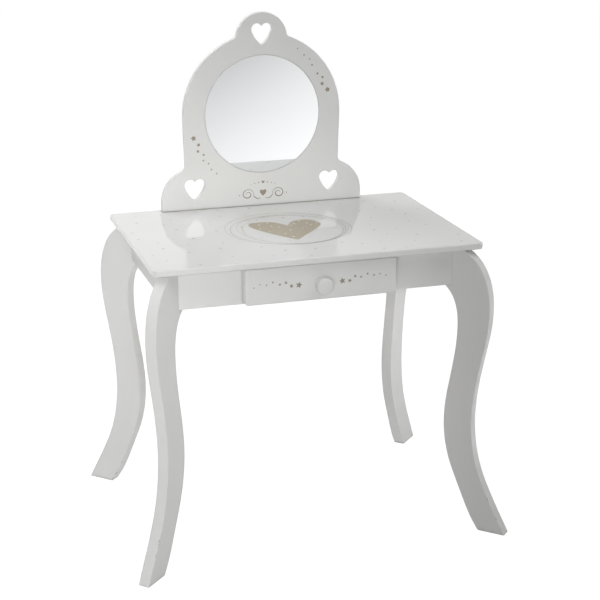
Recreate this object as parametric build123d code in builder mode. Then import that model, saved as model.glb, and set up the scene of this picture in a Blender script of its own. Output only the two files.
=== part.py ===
from build123d import *
import os
from collections import namedtuple
from math import cos, radians, sin, sqrt

os.makedirs("parts", exist_ok=True)

# A child's dressing table: a lacquered board top on four flat S-curved legs that stand diagonally at the
# corners, aprons mitred to the legs, one drawer, and a shaped panel with a round mirror on top.
# Millimetres, +Z up, the floor at z = 0, the front towards -Y, the origin under the middle of the top.

# Top
width = 600.0
depth = 405.0
top_height = 555.0
board = 12.0                    # thickness of the top, the mirror panel and the aprons
top_corner_radius = 10.0
top_edge_radius = 3.0
underside = top_height - board

# Aprons
apron_height = 70.0
front_overhang = 30.0           # from the edge of the top in to the apron, front and rear
side_overhang = 32.5
apron_edge_radius = 1.0
apron_bottom = underside - apron_height
apron_x = width / 2 - side_overhang
apron_y = depth / 2 - front_overhang
inside_x = apron_x - board
inside_y = apron_y - board

# Legs: "out" runs outwards along the diagonal from the corner where the aprons' outer faces would meet
leg_thickness = 22.0
leg_edge_radius = 1.5
leg_back = -28.0                # out of the straight edge between the aprons
leg_head = 5.0                  # out of the outer edge, where it meets the top
foot_inner = 56.0
foot_outer = 109.0
inner_curve = [(-9, 451), (2, 388), (-9, 298), (-19, 218), (-8, 137), (16, 77), (44, 18)]
outer_curve = [(45, 508), (64, 430), (50, 331), (36, 214), (51, 120), (68, 79)]
mitre = leg_thickness / sqrt(2)  # half the leg's width, measured along an apron

# Screws and bolts; the bore is the depth of the wide hole over a sunk head
Fixing = namedtuple("Fixing", "radius length head_radius head_height bore")
leg_bolt_fixing = Fixing(3.0, 45.0, 5.5, 3.5, 0.0)
block_fixing = Fixing(2.0, 20.0, 4.0, 2.2, 14.0)
bracket_fixing = Fixing(1.5, 10.0, 3.0, 1.5, 0.0)
panel_fixing = Fixing(2.0, 34.0, 4.0, 2.5, 6.0)
back_fixing = Fixing(1.5, 24.0, 3.0, 1.8, 4.0)
stop_fixing = Fixing(1.25, 20.0, 2.6, 1.6, 6.0)
fit_gap = 0.1                   # room round each fastener in its hole
head_room = 0.4                 # room round a sunk head in its bore
panel_screw_sink = 3.0          # from the underside of the top up to the head
back_screw_sink = 2.0           # from the drawer's side in to the head
stop_screw_sink = 3.0           # from the top of the stop down to the head

# Corner blocks and the fasteners that hold the legs
block_depth = 30.0
block_height = 60.0
block_bottom = apron_bottom + (apron_height - block_height) / 2
block_back = leg_back - block_depth
bolt_heights = (491.0, 525.0)
insert_radius = 4.5
insert_length = 15.0
washer_radius = 8.0
washer_thickness = 1.5
block_screw_heights = (483.0, 533.0)
block_screw_place = 56.0        # from the apron corner, along the apron
block_screw_cover = 11.0        # block left under the head

# Mirror panel
panel_front = 181.0             # y of its front face
panel_half = 201.0
panel_edge_radius = 1.5
crown_radius = 50.0
crown_z = 878.0
head_radius = 156.0
mirror_z = 734.0
waist_lean = 1.6                # degrees that the sides lean in below the round head
waist_length = 105.0
shoulder_x = 137.0
shoulder_z = 572.0
crown_fillet = 7.0
waist_fillet = 11.0
waist_zone = 20.0               # up from the foot of the sides: the waist's inner corners lie in it
mirror_radius = 113.5
mirror_thickness = 3.0
mirror_chamfer = 0.4
recess_radius = 114.0
pad_thickness = 1.0
pad_radius = 15.0
pad_place = 55.0
recess_depth = mirror_thickness + pad_thickness + 0.2
panel_screw_places = (-182.0, 0.0, 182.0)
panel_dowel_places = (-75.0, 75.0)
panel_dowel_length = 30.0
panel_dowel_depth = 8.0         # in the top

# Heart cut-outs
heart_half = 20.5
lobe_radius = 11.2
lobe_height = 30.0              # of the lobe's centre above the tip
heart_tips = [(0, 866.0), (-135.5, 573.5), (135.5, 573.5)]
heart_tip_radius = 2.0

# Drawer
front_half = 139.0
front_thickness = 18.0
front_bottom = apron_bottom + 1
front_top = underside - 2
front_corner_radius = 6.0
front_edge_radius = 4.0
front_gap = 0.5                 # between the closed drawer front and the apron
window_half = 127.5             # opening in the front apron
window_bottom = 485.0
window_top = 533.0
box_half = 126.0
box_wall = 10.0
box_bottom = 487.0
box_top = 529.0
box_length = 260.0
floor_z = 493.0
floor_thickness = 3.0
groove_depth = 5.0
groove_play = 0.2
box_front = -apron_y - front_gap
box_rear = box_front + box_length
dowel_radius = 3.0
front_dowel_heights = (502.0, 520.0)
front_dowel_length = 24.0
front_dowel_depth = 10.0        # in the drawer front
back_screw_heights = (506.0, 520.0)
drawer_travel = 200.0
running_gap = 0.3
stop_length = 14.0
stop_front = -inside_y + drawer_travel + running_gap
stop_top = underside - 2

# Bearers that the drawer runs on
bearer_inner = 112.0
bearer_outer = 141.5
bearer_bottom = 475.0
bearer_top = 520.0
bearer_dowel_heights = (486.0, 510.0)
bearer_dowel_length = 24.0
bearer_dowel_depth = 8.0        # in the apron

# Knob: radii, and heights above the drawer front
knob_z = 502.5
knob_foot = 12.5
knob_foot_edge = 1.5
knob_flare = (10.3, 3.5)        # midway from the foot to the neck
knob_neck = 9.5
knob_neck_height = 7.0
knob_swell = (13.9, 9.5)        # midway from the neck to the widest place
knob_radius = 15.5
knob_widest_height = 13.5
knob_roll = (14.8, 16.8)        # midway from the widest place to the face
knob_face = 12.5
knob_shoulder = 19.2
knob_depth = 21.0
knob_crown = (knob_face**2 + (knob_depth - knob_shoulder)**2) / (2 * (knob_depth - knob_shoulder))
knob_hole_depth = 13.0
knob_fixing = Fixing(2.0, front_thickness + knob_hole_depth - 1, 4.0, 2.2, 0.0)

# Brackets under the top
bracket_width = 16.0
bracket_leg = 18.0
bracket_thickness = 1.6
bracket_screw_place = 11.0
bracket_x = 165.0               # of the brackets on the front and rear aprons

corners = {
    "front_left": (-1, -1),
    "front_right": (1, -1),
    "rear_left": (-1, 1),
    "rear_right": (1, 1),
}
sides = {"left": -1, "right": 1}


def leg_plane(sx, sy):
    """Upright plane through the middle of a leg: x is out, y is up."""
    return Plane(origin=(sx * apron_x, sy * apron_y, 0), x_dir=(sx, sy, 0), z_dir=(sy, -sx, 0))


def diagonal_plane(sx, sy, out, height):
    """Upright plane across a leg, facing outwards."""
    step = out / sqrt(2)
    place = (sx * (apron_x + step), sy * (apron_y + step), height)
    return Plane(origin=place, x_dir=(-sy, sx, 0), z_dir=(sx, sy, 0))


def corner_plane(sx, sy, height):
    """Level plane at a corner of the aprons: y is out along the diagonal."""
    return Plane(origin=(sx * apron_x, sy * apron_y, height), x_dir=(sy, -sx, 0), z_dir=(0, 0, 1))


def apron_plane(face):
    """Level plane on an apron's outer face: x along the board, y inwards."""
    places = {
        "front": ((0, -apron_y, apron_bottom), (1, 0, 0)),
        "rear": ((0, apron_y, apron_bottom), (-1, 0, 0)),
        "left": ((-apron_x, 0, apron_bottom), (0, -1, 0)),
        "right": ((apron_x, 0, apron_bottom), (0, 1, 0)),
    }
    place, along = places[face]
    return Plane(origin=place, x_dir=along, z_dir=(0, 0, 1))


def apron_board(face, half_length):
    """A plain apron, its ends cut at 45 degrees to fit the sides of the legs."""
    outer = half_length - mitre
    inner = outer - board
    with BuildPart() as shape:
        with BuildSketch(apron_plane(face)):
            with BuildLine():
                Polyline((-outer, 0), (outer, 0), (inner, board), (-inner, board), close=True)
            make_face()
        extrude(amount=apron_height)
        fillet(shape.edges().group_by(Axis.Z)[0].sort_by(SortBy.LENGTH)[-2:], apron_edge_radius)
    return shape.part


def screw(fixing):
    """A screw that points along +Z, with the underside of its head at the origin."""
    with BuildPart() as shape:
        Cylinder(fixing.radius, fixing.length, align=(Align.CENTER, Align.CENTER, Align.MIN))
        Cylinder(fixing.head_radius, fixing.head_height, align=(Align.CENTER, Align.CENTER, Align.MAX))
        fillet(shape.edges().group_by(Axis.Z)[0], fixing.head_height * 0.4)
        chamfer(shape.edges().group_by(Axis.Z)[-1], fixing.radius * 0.3)
    return shape.part


def hole(radius, length):
    """What a dowel, bolt or insert removes, laid out as it is."""
    with BuildPart() as shape:
        Cylinder(radius + fit_gap, length + 2 * fit_gap, align=(Align.CENTER, Align.CENTER, Align.MIN))
    return shape.part


def screw_hole(fixing):
    """What a screw removes from the pieces that it joins: its own hole and the bore over its head."""
    with BuildPart() as shape:
        add(hole(fixing.radius, fixing.length))
        if fixing.bore:
            bore_radius = fixing.head_radius + head_room
            Cylinder(bore_radius, fixing.bore, align=(Align.CENTER, Align.CENTER, Align.MAX))
    return shape.part


def dowel(length):
    """A plain dowel along +Z with chamfered ends."""
    with BuildPart() as shape:
        Cylinder(dowel_radius, length, align=(Align.CENTER, Align.CENTER, Align.MIN))
        chamfer(shape.edges().filter_by(GeomType.CIRCLE), dowel_radius * 0.2)
    return shape.part


def heart(tip):
    """A plump heart on the XZ plane, standing on its tip."""
    lobe_x = heart_half - lobe_radius
    notch = lobe_height + sqrt(lobe_radius**2 - lobe_x**2)
    turn = radians(20)
    flank = (lobe_x + lobe_radius * cos(turn), lobe_height - lobe_radius * sin(turn))
    with BuildSketch(Plane.XZ.offset(-panel_front), mode=Mode.PRIVATE) as shape:
        with BuildLine():
            lobe = ThreePointArc((0, notch), (lobe_x, lobe_height + lobe_radius), flank)
            TangentArc(flank, (0, 0), tangent=lobe % 1)
            mirror(about=Plane.YZ)
        make_face()
        fillet(shape.vertices().sort_by(Axis.Y)[0], heart_tip_radius)
    return shape.sketch.moved(Location((tip[0], 0, tip[1])))


# Where each fastener starts, with its plane's z along the fastener

bolt_planes = [
    diagonal_plane(sx, sy, block_back - washer_thickness, height)
    for sx, sy in corners.values()
    for height in bolt_heights
]
insert_planes = [
    diagonal_plane(sx, sy, leg_back, height)
    for sx, sy in corners.values()
    for height in bolt_heights
]
block_screw_planes = [
    plane
    for sx, sy in corners.values()
    for height in block_screw_heights
    for plane in (
        Plane(
            origin=(sx * (apron_x - block_screw_place), sy * (inside_y - block_screw_cover), height),
            z_dir=(0, sy, 0),
        ),
        Plane(
            origin=(sx * (inside_x - block_screw_cover), sy * (apron_y - block_screw_place), height),
            z_dir=(sx, 0, 0),
        ),
    )
]
bearer_dowel_planes = [
    Plane(
        origin=(
            s * (bearer_outer + window_half) / 2,
            t * (inside_y + bearer_dowel_depth - bearer_dowel_length),
            height,
        ),
        z_dir=(0, t, 0),
    )
    for s in (-1, 1)
    for t in (-1, 1)
    for height in bearer_dowel_heights
]
bracket_planes = [
    Plane(origin=(x, y, underside), x_dir=along, z_dir=(0, 0, 1))
    for x, y, along in (
        (-bracket_x, -inside_y, (1, 0, 0)),
        (bracket_x, -inside_y, (1, 0, 0)),
        (-bracket_x, inside_y, (-1, 0, 0)),
        (bracket_x, inside_y, (-1, 0, 0)),
        (-inside_x, 0, (0, -1, 0)),
        (inside_x, 0, (0, 1, 0)),
    )
]
bracket_screw_planes = [
    screw_plane
    for plane in bracket_planes
    for screw_plane in (
        Plane(
            origin=plane.from_local_coords((0, bracket_screw_place, -bracket_thickness)),
            z_dir=(0, 0, 1),
        ),
        Plane(
            origin=plane.from_local_coords((0, bracket_thickness, -bracket_screw_place)),
            z_dir=-plane.y_dir,
        ),
    )
]
panel_middle = panel_front + board / 2
panel_screw_seat = underside + panel_screw_sink
panel_screw_planes = [
    Plane(origin=(x, panel_middle, panel_screw_seat), z_dir=(0, 0, 1)) for x in panel_screw_places
]
panel_dowel_planes = [
    Plane(origin=(x, panel_middle, top_height - panel_dowel_depth), z_dir=(0, 0, 1))
    for x in panel_dowel_places
]
box_wall_middle = box_half - box_wall / 2
front_dowel_planes = [
    Plane(origin=(s * box_wall_middle, box_front - front_dowel_depth, height), z_dir=(0, 1, 0))
    for s in (-1, 1)
    for height in front_dowel_heights
]
back_screw_seat = box_half - back_screw_sink
back_screw_planes = [
    Plane(origin=(s * back_screw_seat, box_rear - box_wall / 2, height), z_dir=(-s, 0, 0))
    for s in (-1, 1)
    for height in back_screw_heights
]
stop_screw_seat = stop_top - stop_screw_sink
stop_screw_planes = [
    Plane(origin=(s * box_wall_middle, stop_front + stop_length / 2, stop_screw_seat), z_dir=(0, 0, -1))
    for s in (-1, 1)
]
knob_screw_plane = Plane(origin=(0, box_front, knob_z), z_dir=(0, -1, 0))

bolt_drilling = hole(leg_bolt_fixing.radius, leg_bolt_fixing.length)
insert_drilling = hole(insert_radius, insert_length)
block_drilling = screw_hole(block_fixing)
bracket_drilling = screw_hole(bracket_fixing)
panel_drilling = screw_hole(panel_fixing)
back_drilling = screw_hole(back_fixing)
stop_drilling = screw_hole(stop_fixing)
panel_dowel_drilling = hole(dowel_radius, panel_dowel_length)
front_dowel_drilling = hole(dowel_radius, front_dowel_length)
bearer_dowel_drilling = hole(dowel_radius, bearer_dowel_length)


# Top and mirror panel

with BuildPart() as tabletop:
    with BuildSketch(Plane.XY.offset(underside)):
        RectangleRounded(width, depth, top_corner_radius)
    extrude(amount=board)
    fillet(tabletop.faces().filter_by(Axis.Z).edges(), top_edge_radius)
    with Locations(*bracket_screw_planes):
        add(bracket_drilling, mode=Mode.SUBTRACT)
    with Locations(*panel_screw_planes):
        add(panel_drilling, mode=Mode.SUBTRACT)
    with Locations(*panel_dowel_planes):
        add(panel_dowel_drilling, mode=Mode.SUBTRACT)

lean = radians(waist_lean)
waist_top = (head_radius * cos(lean), mirror_z - head_radius * sin(lean))
waist_foot = (waist_top[0] - waist_length * sin(lean), waist_top[1] - waist_length * cos(lean))

with BuildPart() as mirror_panel:
    with BuildSketch(Plane.XZ.offset(-panel_front)) as outline:
        with Locations((0, crown_z)):
            Circle(crown_radius)
        with Locations((0, mirror_z)):
            Circle(head_radius)
        with BuildLine():
            Line(waist_top, waist_foot)
            Line(waist_foot, (0, waist_foot[1]))
            Line(waist_top, (0, waist_top[1]))
            mirror(about=Plane.YZ)
        make_face()
        with Locations((-shoulder_x, shoulder_z), (shoulder_x, shoulder_z)):
            Circle(panel_half - shoulder_x)
        with Locations((0, top_height)):
            Rectangle(2 * panel_half, shoulder_z - top_height, align=(Align.CENTER, Align.MIN))
            Rectangle(2 * shoulder_x, waist_foot[1] - top_height, align=(Align.CENTER, Align.MIN))
        with Locations((0, top_height)):
            Rectangle(2 * width, 2 * top_height, align=(Align.CENTER, Align.MAX), mode=Mode.SUBTRACT)
        crown_corners = outline.vertices().filter_by_position(Axis.Y, mirror_z, crown_z + crown_radius)
        fillet(crown_corners, crown_fillet)
        waist_low = waist_foot[1]
        waist_corners = outline.vertices().filter_by_position(Axis.Y, waist_low, waist_low + waist_zone)
        fillet(waist_corners, waist_fillet)
    extrude(amount=-board)
    fillet(mirror_panel.faces().filter_by(Axis.Y).edges(), panel_edge_radius)
    for tip in heart_tips:
        extrude(heart(tip), amount=-board, mode=Mode.SUBTRACT)
    with BuildSketch(Plane.XZ.offset(-panel_front)):
        with Locations((0, mirror_z)):
            Circle(recess_radius)
    extrude(amount=-recess_depth, mode=Mode.SUBTRACT)
    with Locations(*panel_screw_planes):
        add(panel_drilling, mode=Mode.SUBTRACT)
    with Locations(*panel_dowel_planes):
        add(panel_dowel_drilling, mode=Mode.SUBTRACT)

with BuildPart() as looking_glass:
    with BuildSketch(Plane.XZ.offset(-(panel_front + recess_depth - pad_thickness))):
        with Locations((0, mirror_z)):
            Circle(mirror_radius)
    extrude(amount=mirror_thickness)
    chamfer(looking_glass.edges(), mirror_chamfer)

with BuildPart() as mirror_pads:
    with BuildSketch(Plane.XZ.offset(-(panel_front + recess_depth))):
        with Locations((0, mirror_z)):
            with GridLocations(2 * pad_place, 2 * pad_place, 2, 2):
                Circle(pad_radius)
    extrude(amount=pad_thickness)

with BuildPart() as panel_dowels:
    with Locations(*panel_dowel_planes):
        add(dowel(panel_dowel_length))

with BuildPart() as panel_screws:
    with Locations(*panel_screw_planes):
        add(screw(panel_fixing))


# Aprons

with BuildPart() as front_apron:
    add(apron_board("front", apron_x))
    with BuildSketch(Plane.XZ.offset(apron_y)):
        with Locations((0, (window_bottom + window_top) / 2)):
            Rectangle(2 * window_half, window_top - window_bottom)
    extrude(amount=-board, mode=Mode.SUBTRACT)

with BuildPart() as rear_apron:
    add(apron_board("rear", apron_x))

with BuildPart() as side_apron_left:
    add(apron_board("left", apron_y))

with BuildPart() as side_apron_right:
    add(apron_board("right", apron_y))

aprons = [front_apron, rear_apron, side_apron_left, side_apron_right]
for apron in aprons:
    with apron:
        with Locations(*block_screw_planes):
            add(block_drilling, mode=Mode.SUBTRACT)
        with Locations(*bracket_screw_planes):
            add(bracket_drilling, mode=Mode.SUBTRACT)
        with Locations(*bearer_dowel_planes):
            add(bearer_dowel_drilling, mode=Mode.SUBTRACT)


# Legs

def leg(sx, sy):
    """One flat S-curved leg, drilled for its two inserts."""
    with BuildPart() as shape:
        with BuildSketch(leg_plane(sx, sy)):
            with BuildLine():
                Spline((leg_back, apron_bottom), *inner_curve, (foot_inner, 0))
                Line((foot_inner, 0), (foot_outer, 0))
                Spline((leg_head, underside), *outer_curve, (foot_outer, 0))
                Line((leg_head, underside), (leg_back, underside))
                Line((leg_back, underside), (leg_back, apron_bottom))
            make_face()
        extrude(amount=leg_thickness / 2, both=True)
        broad = shape.faces().sort_by(SortBy.AREA)[-2:]
        fillet(broad.edges().filter_by(GeomType.BSPLINE), leg_edge_radius)
        with Locations(*insert_planes):
            add(insert_drilling, mode=Mode.SUBTRACT)
    return shape.part


def corner_block(sx, sy):
    """The glue block behind a leg, drilled for the bolts and for the screws into the aprons."""
    narrow = leg_thickness / 2
    wide = narrow + block_depth
    with BuildPart() as shape:
        with BuildSketch(corner_plane(sx, sy, block_bottom)):
            with BuildLine():
                Polyline(
                    (-narrow, leg_back), (narrow, leg_back), (wide, block_back), (-wide, block_back),
                    close=True,
                )
            make_face()
        extrude(amount=block_height)
        with Locations(*bolt_planes):
            add(bolt_drilling, mode=Mode.SUBTRACT)
        with Locations(*block_screw_planes):
            add(block_drilling, mode=Mode.SUBTRACT)
    return shape.part


legs = {f"leg_{name}": leg(*place) for name, place in corners.items()}
blocks = {f"corner_block_{name}": corner_block(*place) for name, place in corners.items()}

with BuildPart() as leg_inserts:
    with BuildSketch(*insert_planes):
        Circle(insert_radius)
        Circle(leg_bolt_fixing.radius + fit_gap, mode=Mode.SUBTRACT)
    extrude(amount=insert_length)

with BuildPart() as leg_washers:
    with BuildSketch(*bolt_planes):
        Circle(washer_radius)
        Circle(leg_bolt_fixing.radius + fit_gap, mode=Mode.SUBTRACT)
    extrude(amount=washer_thickness)

with BuildPart() as leg_bolts:
    with Locations(*bolt_planes):
        add(screw(leg_bolt_fixing))

with BuildPart() as block_screws:
    with Locations(*block_screw_planes):
        add(screw(block_fixing))


# Brackets that hold the top

with BuildPart() as tabletop_brackets:
    for plane in bracket_planes:
        with BuildSketch(plane):
            with Locations((0, bracket_leg / 2)):
                Rectangle(bracket_width, bracket_leg)
        extrude(amount=-bracket_thickness)
        with BuildSketch(plane):
            with Locations((0, bracket_thickness / 2)):
                Rectangle(bracket_width, bracket_thickness)
        extrude(amount=-bracket_leg)
    with Locations(*bracket_screw_planes):
        Cylinder(bracket_fixing.radius + fit_gap, 4 * bracket_thickness, mode=Mode.SUBTRACT)

with BuildPart() as bracket_screws:
    with Locations(*bracket_screw_planes):
        add(screw(bracket_fixing))


# Drawer bearers

def drawer_bearer(s):
    """An L-shaped rail from apron to apron: its ledge carries the drawer's side."""
    with BuildPart() as shape:
        with BuildSketch(Plane.XZ.offset(inside_y)):
            with BuildLine():
                Polyline(
                    (s * bearer_inner, bearer_bottom), (s * bearer_outer, bearer_bottom),
                    (s * bearer_outer, bearer_top), (s * window_half, bearer_top),
                    (s * window_half, box_bottom - running_gap),
                    (s * bearer_inner, box_bottom - running_gap), close=True,
                )
            make_face()
        extrude(amount=-2 * inside_y)
        with Locations(*bearer_dowel_planes):
            add(bearer_dowel_drilling, mode=Mode.SUBTRACT)
    return shape.part


bearers = {f"drawer_bearer_{name}": drawer_bearer(s) for name, s in sides.items()}

with BuildPart() as bearer_dowels:
    with Locations(*bearer_dowel_planes):
        add(dowel(bearer_dowel_length))


# Drawer

with BuildPart() as drawer_front:
    with BuildSketch(Plane.XZ.offset(-box_front)):
        with Locations((0, (front_bottom + front_top) / 2)):
            RectangleRounded(2 * front_half, front_top - front_bottom, front_corner_radius)
    extrude(amount=front_thickness)
    fillet(drawer_front.faces().sort_by(Axis.Y)[0].edges(), front_edge_radius)
    with BuildSketch(Plane.XZ.offset(-box_front)):
        with Locations((0, floor_z + floor_thickness / 2)):
            Rectangle(2 * (box_half - box_wall + groove_depth), floor_thickness)
    extrude(amount=groove_depth, mode=Mode.SUBTRACT)
    with Locations(*front_dowel_planes):
        add(front_dowel_drilling, mode=Mode.SUBTRACT)
    with Locations(knob_screw_plane):
        Cylinder(knob_fixing.radius + fit_gap, 4 * front_thickness, mode=Mode.SUBTRACT)


def drawer_side(s):
    """One side of the drawer box, grooved for the bottom."""
    with BuildPart() as shape:
        with BuildSketch(Plane.XZ.offset(-box_front)):
            with Locations((s * box_wall_middle, (box_bottom + box_top) / 2)):
                Rectangle(box_wall, box_top - box_bottom)
            with Locations((s * (box_half - box_wall + groove_depth / 2), floor_z + floor_thickness / 2)):
                Rectangle(groove_depth, floor_thickness, mode=Mode.SUBTRACT)
        extrude(amount=-box_length)
        with Locations(*front_dowel_planes):
            add(front_dowel_drilling, mode=Mode.SUBTRACT)
        with Locations(*back_screw_planes):
            add(back_drilling, mode=Mode.SUBTRACT)
        with Locations(*stop_screw_planes):
            add(stop_drilling, mode=Mode.SUBTRACT)
    return shape.part


drawer_sides = {f"drawer_side_{name}": drawer_side(s) for name, s in sides.items()}

with BuildPart() as drawer_back:
    with BuildSketch(Plane.XY.offset(floor_z + floor_thickness)):
        with Locations((0, box_rear - box_wall / 2)):
            Rectangle(2 * (box_half - box_wall), box_wall)
    extrude(amount=box_top - floor_z - floor_thickness)
    with Locations(*back_screw_planes):
        add(back_drilling, mode=Mode.SUBTRACT)

with BuildPart() as drawer_bottom:
    with BuildSketch(Plane.XY.offset(floor_z)):
        with Locations((0, box_front - groove_depth + groove_play)):
            Rectangle(
                2 * (box_half - box_wall + groove_depth - groove_play),
                box_length + groove_depth - groove_play,
                align=(Align.CENTER, Align.MIN),
            )
    extrude(amount=floor_thickness)

with BuildPart() as front_dowels:
    with Locations(*front_dowel_planes):
        add(dowel(front_dowel_length))

with BuildPart() as back_screws:
    with Locations(*back_screw_planes):
        add(screw(back_fixing))

with BuildPart() as drawer_stops:
    with BuildSketch(Plane.XY.offset(box_top)):
        with Locations(*[(s * box_wall_middle, stop_front + stop_length / 2) for s in (-1, 1)]):
            Rectangle(box_wall, stop_length)
    extrude(amount=stop_top - box_top)
    with Locations(*stop_screw_planes):
        add(stop_drilling, mode=Mode.SUBTRACT)

with BuildPart() as stop_screws:
    with Locations(*stop_screw_planes):
        add(screw(stop_fixing))


# Knob

knob_plane = Plane(origin=(0, box_front - front_thickness, knob_z), x_dir=(1, 0, 0), z_dir=(0, 0, -1))
knob_hole = knob_fixing.radius + fit_gap
with BuildPart() as knob:
    with BuildSketch(knob_plane):
        with BuildLine():
            Polyline(
                (0, knob_depth), (0, knob_hole_depth), (knob_hole, knob_hole_depth), (knob_hole, 0),
                (knob_foot, 0), (knob_foot, knob_foot_edge),
            )
            ThreePointArc((knob_foot, knob_foot_edge), knob_flare, (knob_neck, knob_neck_height))
            ThreePointArc((knob_neck, knob_neck_height), knob_swell, (knob_radius, knob_widest_height))
            ThreePointArc((knob_radius, knob_widest_height), knob_roll, (knob_face, knob_shoulder))
            RadiusArc((knob_face, knob_shoulder), (0, knob_depth), -knob_crown)
        make_face()
    revolve(axis=Axis(knob_plane.origin, (0, -1, 0)))

with BuildPart() as knob_screw:
    with Locations(knob_screw_plane):
        add(screw(knob_fixing))


# One file for each sub-part

pieces = {
    "tabletop": tabletop.part,
    "mirror_panel": mirror_panel.part,
    "mirror": looking_glass.part,
    "mirror_pads": mirror_pads.part,
    "panel_dowels": panel_dowels.part,
    "panel_screws": panel_screws.part,
    "front_apron": front_apron.part,
    "rear_apron": rear_apron.part,
    "side_apron_left": side_apron_left.part,
    "side_apron_right": side_apron_right.part,
    **legs,
    **blocks,
    "leg_inserts": leg_inserts.part,
    "leg_washers": leg_washers.part,
    "leg_bolts": leg_bolts.part,
    "block_screws": block_screws.part,
    "tabletop_brackets": tabletop_brackets.part,
    "bracket_screws": bracket_screws.part,
    **bearers,
    "bearer_dowels": bearer_dowels.part,
    "drawer_front": drawer_front.part,
    **drawer_sides,
    "drawer_back": drawer_back.part,
    "drawer_bottom": drawer_bottom.part,
    "front_dowels": front_dowels.part,
    "back_screws": back_screws.part,
    "drawer_stops": drawer_stops.part,
    "stop_screws": stop_screws.part,
    "knob": knob.part,
    "knob_screw": knob_screw.part,
}
for name, piece in pieces.items():
    piece.label = name
    export_step(piece, f"parts/{name}.step")
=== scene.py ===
import random
from math import copysign, cos, hypot, pi, radians, sin

import bmesh
import bpy
from mathutils import Matrix, Vector


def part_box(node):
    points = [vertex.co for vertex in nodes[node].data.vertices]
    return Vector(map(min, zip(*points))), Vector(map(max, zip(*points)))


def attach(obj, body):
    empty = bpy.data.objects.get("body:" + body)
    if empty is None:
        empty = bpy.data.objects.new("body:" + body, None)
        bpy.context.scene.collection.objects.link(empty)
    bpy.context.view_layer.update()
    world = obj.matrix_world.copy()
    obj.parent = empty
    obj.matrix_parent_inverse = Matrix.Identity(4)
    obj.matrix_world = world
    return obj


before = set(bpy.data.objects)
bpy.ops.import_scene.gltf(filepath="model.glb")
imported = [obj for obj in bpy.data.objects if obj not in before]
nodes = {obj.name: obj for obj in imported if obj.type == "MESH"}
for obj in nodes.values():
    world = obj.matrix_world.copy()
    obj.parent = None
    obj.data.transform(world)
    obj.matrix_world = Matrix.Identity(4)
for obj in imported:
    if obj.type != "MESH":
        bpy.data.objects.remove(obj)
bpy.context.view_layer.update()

# A child's dressing table in white lacquer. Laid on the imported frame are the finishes, the recesses in
# the screws' heads, the printed patterns and the studio.
# Metres, with the floor at z = 0 and the front towards -Y.

mm = 0.001


# Where things are

def face_of(board, side):
    """A frame on a board's outer face: across, up and outwards, from the middle of the object."""
    low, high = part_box(board)
    if side == "top":
        return Matrix.Translation((0, 0, high.z))
    return Matrix(((1, 0, 0, 0), (0, 0, -1, low.y), (0, 1, 0, 0), (0, 0, 0, 1)))


panel_face = face_of("mirror_panel", "front")
drawer_face = face_of("drawer_front", "front")
top_face = face_of("tabletop", "top")


# Colours

white_paint = (0.80, 0.80, 0.785, 1)
undercoat = (0.62, 0.60, 0.56, 1)
board_core = (0.24, 0.17, 0.10, 1)
# The colour of the painted shade that darkens corners, joints and gaps
painted_shade_colour = (0.30, 0.29, 0.27, 1)
trapped_dust = (0.22, 0.20, 0.17, 1)
silver, silver_shade = (0.93, 0.94, 0.95, 1), (0.91, 0.925, 0.93, 1)
glass_rim = (0.80, 0.86, 0.83, 1)
melamine_white, melamine_shade = (0.80, 0.80, 0.78, 1), (0.77, 0.77, 0.75, 1)
fibre_dark, fibre_pale = (0.30, 0.18, 0.09, 1), (0.42, 0.27, 0.15, 1)
beech_pale, beech_dark = (0.66, 0.47, 0.29, 1), (0.48, 0.31, 0.17, 1)
foam_shade, foam_white = (0.70, 0.70, 0.68, 1), (0.84, 0.84, 0.82, 1)
zinc_plate, turned_brass = (0.66, 0.67, 0.69, 1), (0.78, 0.58, 0.27, 1)
gold, dark_gold = (0.405, 0.358, 0.268, 1), (0.265, 0.232, 0.17, 1)
pale_gold, grey_gold = (0.70, 0.69, 0.64, 1), (0.30, 0.285, 0.25, 1)


# Node trees

def node(tree, kind, inputs=None, **settings):
    """A shader node with its settings; each input is given a value or the socket that feeds it."""
    made = tree.nodes.new("ShaderNode" + kind)
    for key, value in settings.items():
        setattr(made, key, value)
    for key, value in (inputs or {}).items():
        if isinstance(value, bpy.types.NodeSocket):
            tree.links.new(value, made.inputs[key])
        else:
            made.inputs[key].default_value = value
    return made


def maths(tree, operation, *values):
    """The result of a maths node."""
    return node(tree, "Math", dict(enumerate(values)), operation=operation).outputs[0]


def between(tree, value, low, high, to_low=0.0, to_high=1.0):
    """A value carried from one range to another, and kept inside it."""
    inputs = {"Value": value, "From Min": low, "From Max": high, "To Min": to_low, "To Max": to_high}
    return node(tree, "MapRange", inputs).outputs["Result"]


def blend_colours(tree, amount, first, second):
    """Two colours mixed by an amount from 0 to 1."""
    mix = node(tree, "Mix", data_type="RGBA")
    for socket, value in (("Factor_Float", amount), ("A_Color", first), ("B_Color", second)):
        target = next(s for s in mix.inputs if s.identifier == socket)
        if isinstance(value, bpy.types.NodeSocket):
            tree.links.new(value, target)
        else:
            target.default_value = value
    return next(s for s in mix.outputs if s.identifier == "Result_Color")


def cloud(tree, place, scale, detail=2.0, roughness=0.5):
    """Soft noise from 0 to 1."""
    inputs = {"Vector": place, "Scale": scale, "Detail": detail, "Roughness": roughness}
    return node(tree, "TexNoise", inputs).outputs["Fac"]


def swing(tree, noise, low=0.0, high=1.0):
    """Soft noise carried to a range of its own; nearly all of it lies between 0.3 and 0.7."""
    return between(tree, noise, 0.3, 0.7, low, high)


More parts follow.
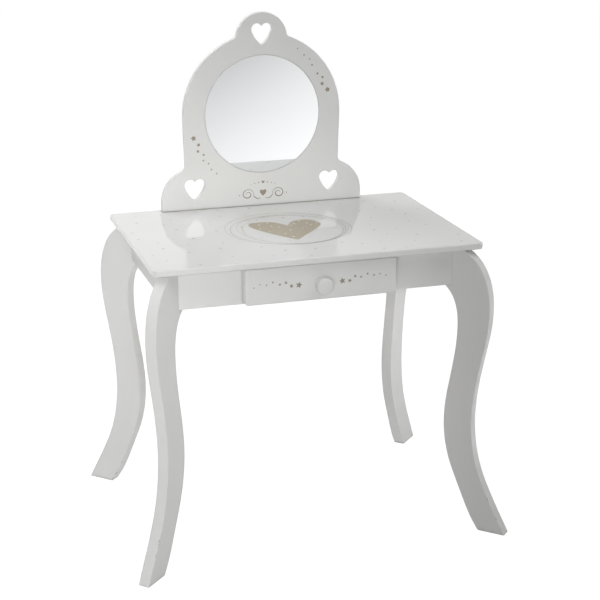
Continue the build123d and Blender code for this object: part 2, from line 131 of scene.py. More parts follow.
def new_group(name, inputs, outputs):
    """An empty node group with its sockets, and the two ends inside it."""
    group = bpy.data.node_groups.new(name, "ShaderNodeTree")
    for label, kind, value in inputs:
        socket = group.interface.new_socket(label, in_out="INPUT", socket_type="NodeSocket" + kind)
        socket.default_value = value
    for label, kind in outputs:
        group.interface.new_socket(label, in_out="OUTPUT", socket_type="NodeSocket" + kind)
    return group, group.nodes.new("NodeGroupInput").outputs, group.nodes.new("NodeGroupOutput").inputs


def place_group(tree, group, **values):
    """A node group set into a material with that material's own values."""
    made = tree.nodes.new("ShaderNodeGroup")
    made.node_tree = group
    for label, value in values.items():
        socket = made.inputs[label.replace("_", " ").capitalize()]
        if isinstance(value, bpy.types.NodeSocket):
            tree.links.new(value, socket)
        else:
            socket.default_value = value
    return made.outputs


def new_material(name):
    """A material with one Principled shader."""
    material = bpy.data.materials.new(name)
    material.use_nodes = True
    tree = material.node_tree
    tree.nodes.clear()
    shader = tree.nodes.new("ShaderNodeBsdfPrincipled")
    output = tree.nodes.new("ShaderNodeOutputMaterial")
    tree.links.new(shader.outputs["BSDF"], output.inputs["Surface"])
    return material, tree, shader.inputs


def relief(tree, shader, height, depth):
    """Raises the surface by a height map; depth is what a full step of it stands for."""
    bump = node(tree, "Bump", {"Height": height, "Distance": depth})
    tree.links.new(bump.outputs["Normal"], shader["Normal"])


# Effects that several finishes share

def sprayed_coat_group():
    """Sprayed lacquer: orange peel, slow waves from the sanded board, and a few trapped specks."""
    group, given, result = new_group(
        "sprayed_coat",
        [
            ("Paint", "Color", (0.8, 0.8, 0.8, 1)),
            ("Gloss", "Float", 0.3),
            ("Peel", "Float", 400.0),
            ("Waves", "Float", 30.0),
            ("Dust", "Float", 0.1),
        ],
        [("Color", "Color"), ("Roughness", "Float"), ("Height", "Float")],
    )
    place = node(group, "TexCoord").outputs["Object"]
    peel = cloud(group, place, given["Peel"], detail=1.0)
    waves = cloud(group, place, given["Waves"], detail=1.0)
    patches = cloud(group, place, 7.0, detail=3.0)
    shade = swing(group, patches, 0.975, 1.0)
    tone = node(group, "VectorMath", {0: given["Paint"], "Scale": shade}, operation="SCALE")
    grit = node(group, "TexVoronoi", {"Vector": place, "Scale": 55.0})
    speck = between(group, grit.outputs["Distance"], 0.035, 0.02)
    rare = between(group, grit.outputs["Color"], 0.62, 0.64)
    dusty = maths(group, "MULTIPLY", maths(group, "MULTIPLY", speck, rare), given["Dust"])
    colour = blend_colours(group, dusty, tone.outputs["Vector"], trapped_dust)
    group.links.new(colour, result["Color"])
    drift = swing(group, cloud(group, place, 11.0, detail=4.0), 0.9, 1.12)
    group.links.new(maths(group, "MULTIPLY", given["Gloss"], drift), result["Roughness"])
    rise = maths(group, "ADD", maths(group, "MULTIPLY", waves, 1.6), peel)
    group.links.new(maths(group, "ADD", rise, maths(group, "MULTIPLY", speck, rare)), result["Height"])
    return group


def edge_wear_and_shade_group():
    """Rubbed edges, small chips near the floor, and painted shade that darkens the corners and gaps
    where boards meet.
    """
    group, given, result = new_group(
        "edge_wear_and_shade",
        [("Width", "Float", 0.002), ("Chips below", "Float", 0.1)],
        [("Rubbed", "Float"), ("Chipped", "Float"), ("Painted_shade", "Float")],
    )
    # Painted shade: ambient occlusion darkens the colour where other surfaces are close, in corners,
    # joints and gaps
    open_air = node(group, "AmbientOcclusion", {"Distance": 6 * mm}, samples=6).outputs["AO"]
    group.links.new(between(group, open_air, 0.9, 0.4), result["Painted_shade"])
    rounded = node(group, "Bevel", {"Radius": given["Width"]}, samples=4).outputs["Normal"]
    facing = node(group, "NewGeometry").outputs["Normal"]
    meet = node(group, "VectorMath", {0: rounded, 1: facing}, operation="DOT_PRODUCT").outputs["Value"]
    edge = between(group, meet, 0.995, 0.86)
    place = node(group, "TexCoord").outputs["Object"]
    uneven = between(group, cloud(group, place, 60.0, detail=4.0), 0.42, 0.6)
    group.links.new(maths(group, "MULTIPLY", edge, uneven), result["Rubbed"])
    height = node(group, "SeparateXYZ", {0: place}).outputs["Z"]
    low = maths(group, "LESS_THAN", height, given["Chips below"])
    spots = between(group, cloud(group, place, 150.0), 0.58, 0.61)
    chips = maths(group, "MULTIPLY", maths(group, "MULTIPLY", edge, spots), low)
    group.links.new(chips, result["Chipped"])
    return group


def timber_grain_group():
    """Fine straight grain along one axis, as in beech: pores, flecks and slow changes of colour."""
    group, given, result = new_group(
        "timber_grain",
        [
            ("Along", "Vector", (1.0, 1.0, 0.05)),
            ("Pale", "Color", (0.8, 0.6, 0.4, 1)),
            ("Dark", "Color", (0.6, 0.4, 0.2, 1)),
        ],
        [("Color", "Color"), ("Height", "Float")],
    )
    place = node(group, "TexCoord").outputs["Object"]
    stretch = node(group, "VectorMath", {0: place, 1: given["Along"]}, operation="MULTIPLY")
    drawn = stretch.outputs["Vector"]
    figure = cloud(group, drawn, 90.0, detail=5.0, roughness=0.6)
    pores = cloud(group, drawn, 900.0)
    bands = swing(group, figure)
    flecks = between(group, pores, 0.6, 0.75, 0.0, 0.5)
    colour = blend_colours(group, bands, given["Pale"], given["Dark"])
    group.links.new(blend_colours(group, flecks, colour, given["Dark"]), result["Color"])
    group.links.new(maths(group, "SUBTRACT", figure, flecks), result["Height"])
    return group


def plated_metal_group():
    """Plated and tumbled metal: fine scratches, a soft mottle and dull patches."""
    group, given, result = new_group(
        "plated_metal",
        [("Metal", "Color", (0.7, 0.7, 0.7, 1)), ("Dull", "Float", 0.3)],
        [("Color", "Color"), ("Roughness", "Float"), ("Height", "Float")],
    )
    place = node(group, "TexCoord").outputs["Object"]
    mottle = cloud(group, place, 260.0, detail=3.0)
    scratch = cloud(group, place, 1900.0, detail=4.0, roughness=0.7)
    darker = node(group, "VectorMath", {0: given["Metal"], "Scale": 0.72}, operation="SCALE")
    amount = swing(group, mottle)
    colour = blend_colours(group, amount, given["Metal"], darker.outputs["Vector"])
    group.links.new(colour, result["Color"])
    scuffs = swing(group, scratch, -0.08, 0.12)
    group.links.new(maths(group, "ADD", given["Dull"], scuffs), result["Roughness"])
    group.links.new(scratch, result["Height"])
    return group


sprayed_coat = sprayed_coat_group()
edge_wear_and_shade = edge_wear_and_shade_group()
timber_grain = timber_grain_group()
plated_metal = plated_metal_group()


# Finishes

def lacquer(
    name, gloss, peel=420.0, waves=26.0, depth=0.02 * mm, dust=0.15,
    wear=0.14, edge=1.6 * mm, chips_below=0.0, painted_shade_amount=0.55,
):
    """White lacquer over fibreboard: rubbed edges, painted shade in the corners and gaps, the core
    showing in chips.
    """
    material, tree, shader = new_material(name)
    coat = place_group(
        tree, sprayed_coat, paint=white_paint, gloss=gloss, peel=peel, waves=waves, dust=dust,
    )
    edges = place_group(tree, edge_wear_and_shade, width=edge, chips_below=chips_below)
    rubbed = maths(tree, "MULTIPLY", edges["Rubbed"], wear)
    paint = blend_colours(tree, rubbed, coat["Color"], undercoat)
    # Painted shade: the paint is darkened towards the shade colour in corners and gaps
    paint = blend_colours(tree, maths(tree, "MULTIPLY", edges["Painted_shade"], painted_shade_amount), paint, painted_shade_colour)
    tree.links.new(blend_colours(tree, edges["Chipped"], paint, board_core), shader["Base Color"])
    rough = maths(tree, "ADD", coat["Roughness"], rubbed)
    tree.links.new(rough, shader["Roughness"])
    relief(tree, shader, maths(tree, "SUBTRACT", coat["Height"], edges["Chipped"]), depth)
    return material


def silvered_glass():
    """Flat mirror glass: silver behind the face, and pale green glass at the ground rim."""
    material, tree, shader = new_material("silvered_glass")
    place = node(tree, "TexCoord").outputs["Object"]
    facing = node(tree, "SeparateXYZ", {0: node(tree, "TexCoord").outputs["Normal"]}).outputs["Y"]
    rim = maths(tree, "LESS_THAN", maths(tree, "ABSOLUTE", facing), 0.9)
    backing = blend_colours(tree, swing(tree, cloud(tree, place, 9.0)), silver, silver_shade)
    tree.links.new(blend_colours(tree, rim, backing, glass_rim), shader["Base Color"])
    tree.links.new(maths(tree, "SUBTRACT", 1.0, rim), shader["Metallic"])
    smears = cloud(tree, place, 22.0, detail=6.0, roughness=0.7)
    film = between(tree, smears, 0.45, 0.8, 0.012, 0.03)
    tree.links.new(maths(tree, "ADD", film, maths(tree, "MULTIPLY", rim, 0.2)), shader["Roughness"])
    return material


def printed_ink(name, colour, shine=0.3):
    """Screen-printed metallic ink: the mesh of the screen, pinholes and a little unevenness."""
    material, tree, shader = new_material(name)
    place = node(tree, "TexCoord").outputs["Object"]
    body = cloud(tree, place, 160.0, detail=4.0, roughness=0.7)
    lighter = tuple(min(1.0, c * 1.22) for c in colour[:3]) + (1,)
    uneven = blend_colours(tree, swing(tree, body), colour, lighter)
    screen = node(tree, "TexVoronoi", {"Vector": place, "Scale": 900.0}).outputs["Distance"]
    pinholes = maths(tree, "MULTIPLY", between(tree, screen, 0.7, 0.85), 0.5)
    tree.links.new(blend_colours(tree, pinholes, uneven, white_paint), shader["Base Color"])
    tree.links.new(swing(tree, body, 0.3, 0.5), shader["Roughness"])
    shader["Metallic"].default_value = shine
    relief(tree, shader, screen, 0.01 * mm)
    return material


def melamine():
    """Matt white melamine on the drawer's boards, with a fine pebble and a faint mottle."""
    material, tree, shader = new_material("drawer_board")
    place = node(tree, "TexCoord").outputs["Object"]
    pebble = cloud(tree, place, 1100.0)
    mottle = swing(tree, cloud(tree, place, 14.0, detail=3.0))
    tree.links.new(blend_colours(tree, mottle, melamine_white, melamine_shade), shader["Base Color"])
    tree.links.new(swing(tree, pebble, 0.42, 0.58), shader["Roughness"])
    relief(tree, shader, pebble, 0.03 * mm)
    return material


def hardboard():
    """Thin hardboard: white above, bare brown below and at its edges."""
    material, tree, shader = new_material("drawer_bottom_board")
    place = node(tree, "TexCoord").outputs["Object"]
    facing = node(tree, "SeparateXYZ", {0: node(tree, "TexCoord").outputs["Normal"]}).outputs["Z"]
    bare = maths(tree, "LESS_THAN", facing, 0.5)
    fibres = cloud(tree, place, 420.0, detail=6.0, roughness=0.75)
    brown = blend_colours(tree, between(tree, fibres, 0.35, 0.65), fibre_dark, fibre_pale)
    tree.links.new(blend_colours(tree, bare, melamine_white, brown), shader["Base Color"])
    tree.links.new(swing(tree, fibres, 0.5, 0.7), shader["Roughness"])
    relief(tree, shader, fibres, 0.06 * mm)
    return material


def beech(name, along):
    """Bare sanded beech."""
    material, tree, shader = new_material(name)
    grain = place_group(tree, timber_grain, along=along, pale=beech_pale, dark=beech_dark)
    tree.links.new(grain["Color"], shader["Base Color"])
    tree.links.new(between(tree, grain["Height"], 0.2, 0.8, 0.62, 0.48), shader["Roughness"])
    relief(tree, shader, grain["Height"], 0.1 * mm)
    return material


def plated(name, colour, dull):
    """Plated or turned metal."""
    material, tree, shader = new_material(name)
    metal = place_group(tree, plated_metal, metal=colour, dull=dull)
    tree.links.new(metal["Color"], shader["Base Color"])
    tree.links.new(metal["Roughness"], shader["Roughness"])
    shader["Metallic"].default_value = 1.0
    relief(tree, shader, metal["Height"], 0.01 * mm)
    return material


def foam():
    """White closed-cell foam tape."""
    material, tree, shader = new_material("foam_tape")
    place = node(tree, "TexCoord").outputs["Object"]
    cells = node(tree, "TexVoronoi", {"Vector": place, "Scale": 1600.0}).outputs["Distance"]
    tree.links.new(blend_colours(tree, cells, foam_shade, foam_white), shader["Base Color"])
    tree.links.new(between(tree, cells, 0.0, 1.0, 0.75, 0.95), shader["Roughness"])
    relief(tree, shader, cells, 0.2 * mm)
    return material


tabletop_gloss = lacquer(
    "tabletop_gloss", 0.03, peel=300.0, waves=18.0, depth=0.0008 * mm, dust=0.25, wear=0.03,
)
panel_satin = lacquer("panel_satin", 0.34)
apron_satin = lacquer("apron_satin", 0.36)
drawer_satin = lacquer("drawer_front_satin", 0.33)
leg_satin = lacquer("leg_satin", 0.37, edge=3.5 * mm, chips_below=75 * mm)
knob_gloss = lacquer("knob_gloss", 0.22, peel=700.0, waves=60.0)
mirror_glass = silvered_glass()
gold_ink = printed_ink("gold_ink", gold)
star_ink = printed_ink("star_ink", dark_gold, shine=0.2)
pale_ink = printed_ink("pale_ink", pale_gold, shine=0.0)
grey_ink = printed_ink("grey_ink", grey_gold, shine=0.2)
board_white = melamine()
bottom_board = hardboard()
upright_beech = beech("bare_beech", (1.0, 1.0, 0.05))
dowel_beech = beech("dowel_beech", (0.05, 1.0, 1.0))
zinc = plated("zinc_steel", zinc_plate, dull=0.28)
brass = plated("insert_brass", turned_brass, dull=0.34)
tape = foam()

corners = ("front_left", "front_right", "rear_left", "rear_right")
finishes = {
    tabletop_gloss: ["tabletop"],
    panel_satin: ["mirror_panel"],
    apron_satin: ["front_apron", "rear_apron", "side_apron_left", "side_apron_right"],
    leg_satin: ["leg_" + corner for corner in corners],
    drawer_satin: ["drawer_front"],
    knob_gloss: ["knob"],
    mirror_glass: ["mirror"],
    tape: ["mirror_pads"],
    upright_beech: ["corner_block_" + corner for corner in corners],
    dowel_beech: ["panel_dowels", "bearer_dowels", "front_dowels"],
    board_white: [
        "drawer_bearer_left", "drawer_bearer_right", "drawer_side_left", "drawer_side_right",
        "drawer_back", "drawer_stops",
    ],
    bottom_board: ["drawer_bottom"],
    zinc: [
        "leg_bolts", "leg_washers", "block_screws", "tabletop_brackets", "bracket_screws",
        "panel_screws", "back_screws", "stop_screws", "knob_screw",
    ],
    brass: ["leg_inserts"],
}
for material, names in finishes.items():
    for name in names:
        nodes[name].data.materials.clear()
        nodes[name].data.materials.append(material)


# Drive recesses: a prism is cut out of each head of the leg bolts, the block screws, the bracket screws
# and the knob's screw

weld_distance = 0.001 * mm


def solids_of(mesh):
    """The separate solids in a mesh, each as a list of its corners."""
    shape = bmesh.new()
    shape.from_mesh(mesh)
    bmesh.ops.remove_doubles(shape, verts=shape.verts, dist=weld_distance)
    seen, solids = set(), []
    for first in shape.verts:
        if first in seen:
            continue
        seen.add(first)
        solid, fringe = [], [first]
        while fringe:
            corner = fringe.pop()
            solid.append(corner.co.copy())
            for edge in corner.link_edges:
                other = edge.other_vert(corner)
                if other not in seen:
                    seen.add(other)
                    fringe.append(other)
        solids.append(solid)
    shape.free()
    return solids


def head_of(solid):
    """The middle of a fastener's end face, and the way that it looks out of its hole."""
    low = Vector([min(corner[k] for corner in solid) for k in range(3)])
    high = Vector([max(corner[k] for corner in solid) for k in range(3)])
    middle, extent = (low + high) / 2, high - low
    longest = max(range(3), key=lambda k: extent[k])
    axis = Vector([float(k == longest) for k in range(3)])
    if longest < 2 and abs(extent.x - extent.y) < 0.1 * mm:     # it lies on a corner's diagonal
        axis = Vector((copysign(1, middle.x), copysign(1, middle.y), 0)).normalized()

    def off_axis(corner):
        return (corner - middle - axis * (corner - middle).dot(axis)).length

    widest = max(solid, key=off_axis)
    outwards = axis * copysign(1, (widest - middle).dot(axis))
    return middle + outwards * max((corner - middle).dot(outwards) for corner in solid), outwards


def hexagon(across):
    """The outline of a hexagonal socket, from its size across flats."""
    return [(across / 3**0.5 * cos(k * pi / 3), across / 3**0.5 * sin(k * pi / 3)) for k in range(6)]


def cross(arm, width):
    """The outline of a cross recess, from the reach of its arms and their width."""
    half = width / 2
    quarter = [(arm, -half), (arm, half), (half, half)]
    outline = []
    for k in range(4):
        turn = k * pi / 2
        outline += [(x * cos(turn) - y * sin(turn), x * sin(turn) + y * cos(turn)) for x, y in quarter]
    return outline


def cut_recesses(name, body, outline, depth, taper):
    """Sinks the same recess into every head of a node; the outline and the depth are in millimetres."""
    cutter = bmesh.new()
    for solid in solids_of(nodes[name].data):
        place, outwards = head_of(solid)
        turn = outwards.to_track_quat("Z", "Y")
        rims = []
        for level, scale in ((depth, 1.0), (-depth, taper)):
            rim = [place + turn @ Vector((x * scale, y * scale, level)) * mm for x, y in outline]
            rims.append([cutter.verts.new(corner) for corner in rim])
        mouth, end = rims
        cutter.faces.new(mouth)
        cutter.faces.new(reversed(end))
        for i in range(len(outline)):
            j = (i + 1) % len(outline)
            cutter.faces.new((end[i], end[j], mouth[j], mouth[i]))
    mesh = bpy.data.meshes.new(name + "_cutter")
    cutter.to_mesh(mesh)
    cutter.free()
    holder = bpy.data.objects.new(name + "_cutter", mesh)
    bpy.context.scene.collection.objects.link(holder)
    holder.hide_render = True
    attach(holder, body)
    weld = nodes[name].modifiers.new("joined_seams", "WELD")
    weld.merge_threshold = weld_distance
    recess = nodes[name].modifiers.new("drive_recess", "BOOLEAN")
    recess.operation = "DIFFERENCE"
    recess.solver = "EXACT"
    recess.object = holder


medium_cross, small_cross = cross(arm=2.1, width=0.95), cross(arm=1.7, width=0.8)
cut_recesses("leg_bolts", "table", hexagon(across=4.0), depth=2.2, taper=1.0)
cut_recesses("block_screws", "table", medium_cross, depth=1.2, taper=0.5)
cut_recesses("bracket_screws", "table", small_cross, depth=0.9, taper=0.5)
cut_recesses("knob_screw", "drawer", medium_cross, depth=1.2, taper=0.5)


# Printed patterns: each is a thin layer of ink on its board, drawn in millimetres

ink_thickness = 0.06 * mm


def curve_between(start, start_pull, end_pull, end, steps=12):
    """Points along a Bezier curve, without its last one."""
    points = []
    for i in range(steps):
        t = i / steps
        weights = ((1 - t) ** 3, 3 * t * (1 - t) ** 2, 3 * t * t * (1 - t), t**3)
        corners = (start, start_pull, end_pull, end)
        points.append(tuple(sum(w * p[k] for w, p in zip(weights, corners)) for k in (0, 1)))
    return points


def star(place, size, turn, plumpness=0.5):
    """A five-pointed star; its plumpness is how far the hollows reach."""
    points = []
    for i in range(10):
        reach = size / 2 * (1.0 if i % 2 == 0 else plumpness)
        angle = turn + i * pi / 5
        points.append((place[0] + reach * sin(angle), place[1] + reach * cos(angle)))
    return points


def dot(place, size, steps=14):
    """A round dot."""
    return [
        (place[0] + size / 2 * cos(2 * pi * i / steps), place[1] + size / 2 * sin(2 * pi * i / steps))
        for i in range(steps)
    ]


def small_heart(place, size):
    """A small even heart, standing on its tip."""
    tip, flank, notch = (0, -0.5), (0.5, 0.22), (0, 0.24)
    half = [
        *curve_between(tip, (0.28, -0.22), (0.5, -0.02), flank, 7),
        *curve_between(flank, (0.5, 0.5), (0.06, 0.56), notch, 7),
    ]
    outline = [*half, notch, *((-x, y) for x, y in reversed(half[1:]))]
    return [(place[0] + size * x, place[1] + size * y) for x, y in outline]


def lay_shape(ink, outline, raised=0.0):
    """Adds a closed shape of ink to a mesh; the outline is in millimetres across and up."""
    levels = (raised, raised + ink_thickness)
    rims = [[ink.verts.new((x * mm, y * mm, level)) for x, y in outline] for level in levels]
    lower, upper = rims
    ink.faces.new(reversed(lower))
    ink.faces.new(upper)
    for i in range(len(outline)):
        j = (i + 1) % len(outline)
        ink.faces.new((lower[i], lower[j], upper[j], upper[i]))


def lay_stroke(ink, path, widths, closed=False):
    """Adds a brush stroke along a path to a mesh, with its own width at each point."""
    count = len(path)
    rings = []
    for i, (x, y) in enumerate(path):
        if closed:
            before, after = path[i - 1], path[(i + 1) % count]
        else:
            before, after = path[max(i - 1, 0)], path[min(i + 1, count - 1)]
        run = (after[0] - before[0], after[1] - before[1])
        length = hypot(*run)
        side = (-run[1] / length * widths[i] / 2, run[0] / length * widths[i] / 2)
        rings.append([
            ink.verts.new(((x + k * side[0]) * mm, (y + k * side[1]) * mm, level))
            for k, level in ((-1, 0.0), (1, 0.0), (1, ink_thickness), (-1, ink_thickness))
        ])
    for i in range(count if closed else count - 1):
        here, there = rings[i], rings[(i + 1) % count]
        for k in range(4):
            ink.faces.new((here[k], here[(k + 1) % 4], there[(k + 1) % 4], there[k]))
    if not closed:
        ink.faces.new(reversed(rings[0]))
        ink.faces.new(rings[-1])


def printed(name, ink, face, body, material):
    """Turns a mesh of ink into a piece on a board's face, and lets it ride with that board's body."""
    bmesh.ops.recalc_face_normals(ink, faces=ink.faces)
    mesh = bpy.data.meshes.new(name)
    ink.to_mesh(mesh)
    ink.free()
    mesh.transform(face)
    mesh.materials.append(material)
    piece = bpy.data.objects.new(name, mesh)
    bpy.context.scene.collection.objects.link(piece)
    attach(piece, body)


def star_trail(name, face, body, trail, seed):
    """A trail of stars that shrinks to dots; each row of the trail is across, up and size."""
    draw = random.Random(seed)
    ink = bmesh.new()
    for across, up, size in trail:
        lay_shape(ink, star((across, up), size, draw.uniform(-0.5, 0.5)))
    printed(name, ink, face, body, star_ink)


def tabletop_heart():
    """The large hand-drawn heart in the middle of the top, leaning to the right."""
    tip, left, left_top, notch = (-10, -83), (-70, 26), (-46, 56), (0, 14)
    right_top, right = (38, 52), (63, 14)
    outline = [
        *curve_between(tip, (-28, -60), (-60, -12), left, 14),
        *curve_between(left, (-73, 44), (-62, 56), left_top, 10),
        *curve_between(left_top, (-24, 56), (-8, 40), notch, 12),
        *curve_between(notch, (6, 36), (20, 51), right_top, 12),
        *curve_between(right_top, (53, 53), (62, 32), right, 10),
        *curve_between(right, (64, -2), (22, -44), tip, 16),
    ]
    ink = bmesh.new()
    lay_shape(ink, outline)
    printed("tabletop_heart", ink, top_face, "table", gold_ink)


def heart_flecks():
    """Pale star-shaped flecks over the large heart, raised on top of its ink."""
    draw = random.Random(5)
    ink = bmesh.new()
    places = [
        (-31, 44), (-56, 8), (-18, 12), (7, 17), (15, 26), (40, 25), (43, 11), (-20, -37),
        (-44, -14), (57, 20), (-50, 36), (30, 42), (-4, -14), (22, -8), (-30, 22), (-12, -60),
    ]
    for place in places:
        fleck = star(place, draw.uniform(4.0, 7.0), draw.uniform(0, 1))
        lay_shape(ink, fleck, raised=ink_thickness)
    printed("heart_flecks", ink, top_face, "table", pale_ink)


def tabletop_rings():
    """Four thin hand-drawn rings round the heart, which cross and drift apart."""
    draw = random.Random(11)
    ink = bmesh.new()
    steps = 180
    rings = [((-5, 1), (117, 111)), ((-4, -9), (110, 103)), ((2, -4), (100, 107)), ((2, -9), (93, 100))]
    for centre, radii in rings:
        wobble = [(draw.uniform(0.5, 1.6), draw.uniform(0, 2 * pi)) for _ in range(3)]
        press = draw.uniform(0, 2 * pi)
        path, widths = [], []
        for i in range(steps):
            angle = 2 * pi * i / steps
            drift = sum(reach * sin(k * angle + phase) for k, (reach, phase) in enumerate(wobble, 2))
            across = centre[0] + (radii[0] + drift) * cos(angle)
            up = centre[1] + (radii[1] + drift) * sin(angle)
            path.append((across, up))
            widths.append(0.95 + 0.4 * sin(angle + press) + 0.18 * sin(5 * angle + 2 * press))
        lay_stroke(ink, path, widths, closed=True)
    printed("tabletop_rings", ink, top_face, "table", grey_ink)


def tabletop_specks():
    """Small stars scattered over the top, apart from each other and clear of heart and panel."""
    count, gap, dark_share = 74, 36, 0.6
    edge_margin, panel_margin = 12, 6
    heart_middle, heart_reach = -5, 76
    draw = random.Random(23)
    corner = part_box("tabletop")[1]
    reach = (corner.x / mm - edge_margin, corner.y / mm - edge_margin)
    panel_low, panel_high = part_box("mirror_panel")
    panel_line = panel_low.y / mm - panel_margin
    panel_side = panel_high.x / mm + panel_margin
    dark, faint = bmesh.new(), bmesh.new()
    placed = []
    while len(placed) < count:
        spot = (draw.uniform(-reach[0], reach[0]), draw.uniform(-reach[1], reach[1]))
        size = draw.choice((3.6, 4.6, 5.6, 6.4))
        crowded = any(hypot(spot[0] - x, spot[1] - y) < gap for x, y in placed)
        on_heart = hypot(spot[0], spot[1] - heart_middle) < heart_reach
        under_panel = spot[1] > panel_line and abs(spot[0]) < panel_side
        if crowded or on_heart or under_panel:
            continue
        placed.append(spot)
        ink = dark if draw.random() < dark_share else faint
        lay_shape(ink, star(spot, size, draw.uniform(0, 2)))
    printed("tabletop_stars", dark, top_face, "table", star_ink)
    printed("tabletop_faint_stars", faint, top_face, "table", grey_ink)


def panel_ornament():
    """A pair of scrolls with a small heart between them and a row of stars above, low on the panel."""
    ink = bmesh.new()
    middle, star_line = 579, 601
    scroll_middle, scroll_reach, scroll_shrink, scroll_turn = 31, 12.5, 9.5, 560
    steps = 60
    for side in (-1, 1):
        path, widths = [], []
        for i in range(steps):
            t = i / (steps - 1)
            turn = radians(200 - scroll_turn * t)
            reach = scroll_reach - scroll_shrink * t
            across = side * (scroll_middle + reach * cos(turn))
            path.append((across, middle - 1 + reach * sin(turn) * 0.9))
            widths.append(0.7 + 1.4 * sin(pi * t) ** 2)
        lay_stroke(ink, path, widths)
        start, end = (side * 5, middle - 9), (side * 19.5, middle - 5)
        pulls = ((side * 14, middle - 14), (side * 16, middle - 5))
        sweep = [*curve_between(start, *pulls, end), end]
        lay_stroke(ink, sweep, [0.6 + 1.1 * sin(pi * i / (len(sweep) - 1)) for i in range(len(sweep))])
        lay_shape(ink, dot((side * 47.5, middle - 2), 2.2))
        for across, up, size in ((9, 600.5, 3.4), (17, 599, 2.8), (24, 596.8, 2.2)):
            lay_shape(ink, star((side * across, up), size, 0.2 * side))
    lay_shape(ink, small_heart((0, middle + 1), 13))
    lay_shape(ink, small_heart((0, star_line), 6))
    printed("panel_ornament", ink, panel_face, "table", star_ink)


star_trail(
    "panel_stars_right", panel_face, "table",
    [
        (131, 775, 11.9), (120, 787, 8.8), (121, 799.5, 6.5), (110.5, 807, 5.5), (99.5, 824, 4.8),
        (94.5, 835.5, 4.0), (83.5, 843.5, 4.2), (70.5, 856.5, 3.2),
    ],
    3,
)
star_trail(
    "panel_stars_left", panel_face, "table",
    [
        (-136.5, 695, 11.9), (-127, 682, 8.0), (-128.5, 669.5, 7.0), (-117.5, 662, 5.8),
        (-118, 651, 5.0), (-108, 644.5, 4.5), (-102.5, 632.5, 4.2), (-92.5, 624, 4.0),
    ],
    4,
)
star_trail(
    "drawer_stars_left", drawer_face, "drawer",
    [
        (-42.5, 504.5, 11.9), (-56, 504, 8.0), (-66, 511, 6.2), (-77, 508.5, 5.5), (-89.5, 513.5, 4.8),
        (-101, 509.5, 4.0), (-112.5, 511.5, 3.2), (-123.5, 506.5, 3.0),
    ],
    6,
)
star_trail(
    "drawer_stars_right", drawer_face, "drawer",
    [
        (37, 505, 11.9), (50.5, 504.5, 8.0), (60.5, 511.5, 6.2), (71.5, 509.5, 5.2), (83.5, 514, 5.0),
        (95.5, 510.5, 4.5), (106.5, 512, 3.8), (118, 508, 3.5),
    ],
    8,
)
tabletop_heart()
heart_flecks()
tabletop_rings()
tabletop_specks()
panel_ornament()


# Studio

# The dim walls: the way to each, and its strength
dim_walls = [((0, 1, 0), 0.06), ((-1, 0, 0), 0.27), ((1, 0, 0), 0.14)]

# The room in the gloss: the rear wall from left to right, and the rest
rear_gloss = (1.3, 0.75)
front_gloss = 0.9

# The floor's glow in the gloss, which lights the mirror's reflection though the floor is no lamp: its
# strength at the middle, what each metre adds to the right and to the rear, and the limits of the sum
floor_gloss, floor_gloss_across, floor_gloss_rearwards = 1.333, 0.40, 0.24
floor_gloss_limits = (0.5, 1.1)

# The floor to the camera: a glow, and its share; the rest is the paper, which takes the shadows
floor_glow, floor_glow_share = 1.36, 0.72


def look_at(place, target):
    """The turn that points a camera or a lamp from one place at another."""
    return (Vector(target) - Vector(place)).to_track_quat("-Z", "Y").to_euler()


def add_camera():
    """A long lens from the front left, looking down on the top."""
    azimuth, elevation, distance = radians(-17.33), radians(17.715), 2.834
    target = Vector((0.0189, 0.0, 0.4133))
    back = Vector((sin(azimuth) * cos(elevation), -cos(azimuth) * cos(elevation), sin(elevation)))
    lens = bpy.data.cameras.new("camera")
    lens.sensor_width = 36.0
    lens.lens = 90.59
    lens.clip_end = 60.0
    camera = bpy.data.objects.new("camera", lens)
    camera.location = target + back * distance
    camera.rotation_euler = look_at(camera.location, target)
    bpy.context.scene.collection.objects.link(camera)
    bpy.context.scene.camera = camera


def add_floor():
    """A plain pale floor that runs out of sight, glowing in the gloss though it is no lamp, brighter to
    the right and the rear, and clear from below.
    """
    half_width, just_below = 30.0, -0.2 * mm
    sheet = bmesh.new()
    bmesh.ops.create_grid(sheet, x_segments=8, y_segments=8, size=half_width)
    mesh = bpy.data.meshes.new("studio_floor")
    sheet.to_mesh(mesh)
    sheet.free()
    floor = bpy.data.objects.new("studio_floor", mesh)
    floor.location.z = just_below
    bpy.context.scene.collection.objects.link(floor)
    material = bpy.data.materials.new("studio_floor")
    material.use_nodes = True
    tree = material.node_tree
    tree.nodes.clear()
    paper = node(tree, "BsdfDiffuse", {"Color": (0.78, 0.78, 0.78, 1)})
    path = node(tree, "LightPath").outputs
    place = node(tree, "SeparateXYZ", {0: node(tree, "TexCoord").outputs["Object"]}).outputs
    sideways = maths(tree, "MULTIPLY_ADD", place["X"], floor_gloss_across, floor_gloss)
    slope = maths(tree, "MULTIPLY_ADD", place["Y"], floor_gloss_rearwards, sideways)
    mirrored = between(tree, slope, *floor_gloss_limits, *floor_gloss_limits)
    seen = maths(tree, "MULTIPLY", path["Is Camera Ray"], floor_glow)
    # The floor glows in glossy rays, with a strength that rises to the right and the rear
    strength = maths(tree, "MULTIPLY_ADD", path["Is Glossy Ray"], mirrored, seen)
    glow = node(tree, "Emission", {"Color": (1, 1, 1, 1), "Strength": strength})
    share = maths(tree, "MULTIPLY_ADD", path["Is Camera Ray"], floor_glow_share, path["Is Glossy Ray"])
    mix = node(tree, "MixShader", {0: share, 1: paper.outputs[0], 2: glow.outputs[0]})
    below = node(tree, "NewGeometry").outputs["Backfacing"]
    clear = node(tree, "BsdfTransparent")
    sheet_face = node(tree, "MixShader", {0: below, 1: mix.outputs[0], 2: clear.outputs[0]})
    tree.links.new(sheet_face.outputs[0], node(tree, "OutputMaterial").inputs["Surface"])
    mesh.materials.append(material)


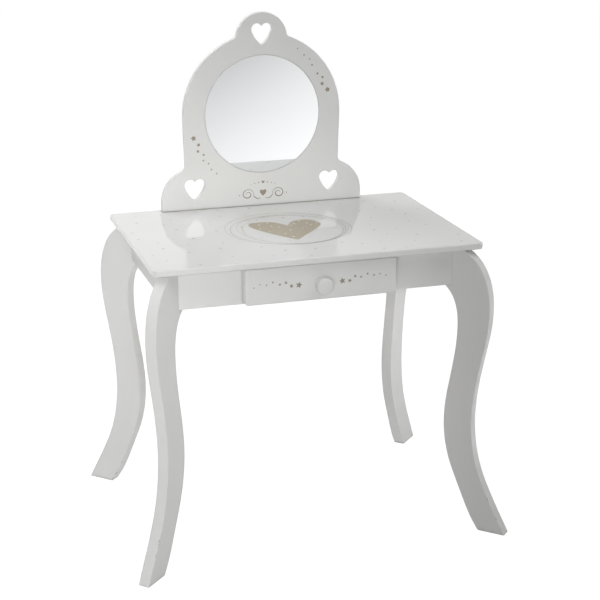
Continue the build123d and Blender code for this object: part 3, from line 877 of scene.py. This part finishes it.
def add_room():
    """A white room: plain to the camera, with dim walls to light by, and brighter ones in the gloss."""
    world = bpy.data.worlds.new("studio")
    world.use_nodes = True
    tree = world.node_tree
    tree.nodes.clear()
    way = node(tree, "TexCoord").outputs["Generated"]
    walls = 0.0
    for direction, strength in dim_walls:
        facing = node(tree, "VectorMath", {0: way, 1: direction}, operation="DOT_PRODUCT")
        wall = between(tree, facing.outputs["Value"], 0.2, 0.8, 0.0, strength)
        walls = maths(tree, "ADD", walls, wall)
    axes = node(tree, "SeparateXYZ", {0: way}).outputs
    rear = between(tree, axes["X"], 0.16, 0.42, rear_gloss[0], rear_gloss[1])
    behind = between(tree, axes["Y"], -0.2, 0.2)
    rear_part = maths(tree, "MULTIPLY", behind, rear)
    front_part = maths(tree, "MULTIPLY", maths(tree, "SUBTRACT", 1.0, behind), front_gloss)
    path = node(tree, "LightPath").outputs
    dim, bright, white = (
        node(tree, "Background", {"Color": (1, 1, 1, 1), "Strength": strength})
        for strength in (walls, maths(tree, "ADD", rear_part, front_part), 1.0)
    )
    lit = node(tree, "MixShader", {0: path["Is Glossy Ray"], 1: dim.outputs[0], 2: bright.outputs[0]})
    mix = node(tree, "MixShader", {0: path["Is Camera Ray"], 1: lit.outputs[0], 2: white.outputs[0]})
    tree.links.new(mix.outputs[0], node(tree, "OutputWorld").inputs["Surface"])
    bpy.context.scene.world = world


def around(azimuth, elevation, distance, height=0.45):
    """A place on a circle round the object; azimuth 0 is in front of it."""
    turn, rise = radians(azimuth), radians(elevation)
    out = distance * cos(rise)
    return (out * sin(turn), -out * cos(turn), height + distance * sin(rise))


def add_lamp(name, place, target, size, power, spread=180.0, in_gloss=True):
    """A square soft lamp, which can be kept out of the gloss."""
    lamp = bpy.data.lights.new(name, "AREA")
    lamp.shape = "SQUARE"
    lamp.size = size
    lamp.energy = power
    lamp.spread = radians(spread)
    holder = bpy.data.objects.new(name, lamp)
    holder.location = place
    holder.rotation_euler = look_at(place, target)
    holder.visible_glossy = in_gloss
    bpy.context.scene.collection.objects.link(holder)


def add_lamps():
    """Three narrow lamps from the front and the right, and large soft ones above and all round."""
    middle = (0.0, 0.0, 0.4)
    add_lamp("key_lamp", (-0.9, -2.6, 1.3), (-0.45, 0.0, 0.5), size=0.7, power=1.22, spread=35.0)
    add_lamp("low_left_lamp", (-1.4, -2.4, 0.5), (-0.4, 0.0, 0.4), size=0.8, power=1.25, spread=45.0)
    add_lamp("low_right_lamp", (2.0, -0.9, 0.4), (0.0, 0.25, 0.3), size=0.5, power=0.25, spread=20.0)
    add_lamp("front_right_lamp", around(45, 50, 2.6), middle, size=1.2, power=19.2, in_gloss=False)
    add_lamp("top_lamp", (0.0, 0.0, 3.0), middle, size=2.0, power=10.2)
    add_lamp("left_lamp", around(-100, 50, 2.6), middle, size=1.2, power=3.6)
    add_lamp("side_lamp", around(-100, 20, 2.6), middle, size=1.2, power=3.6)
    add_lamp("rear_lamp", around(-145, 45, 2.8), middle, size=1.2, power=24.8)


add_camera()
add_floor()
add_room()
add_lamps()
bpy.context.scene.view_settings.view_transform = "Standard"
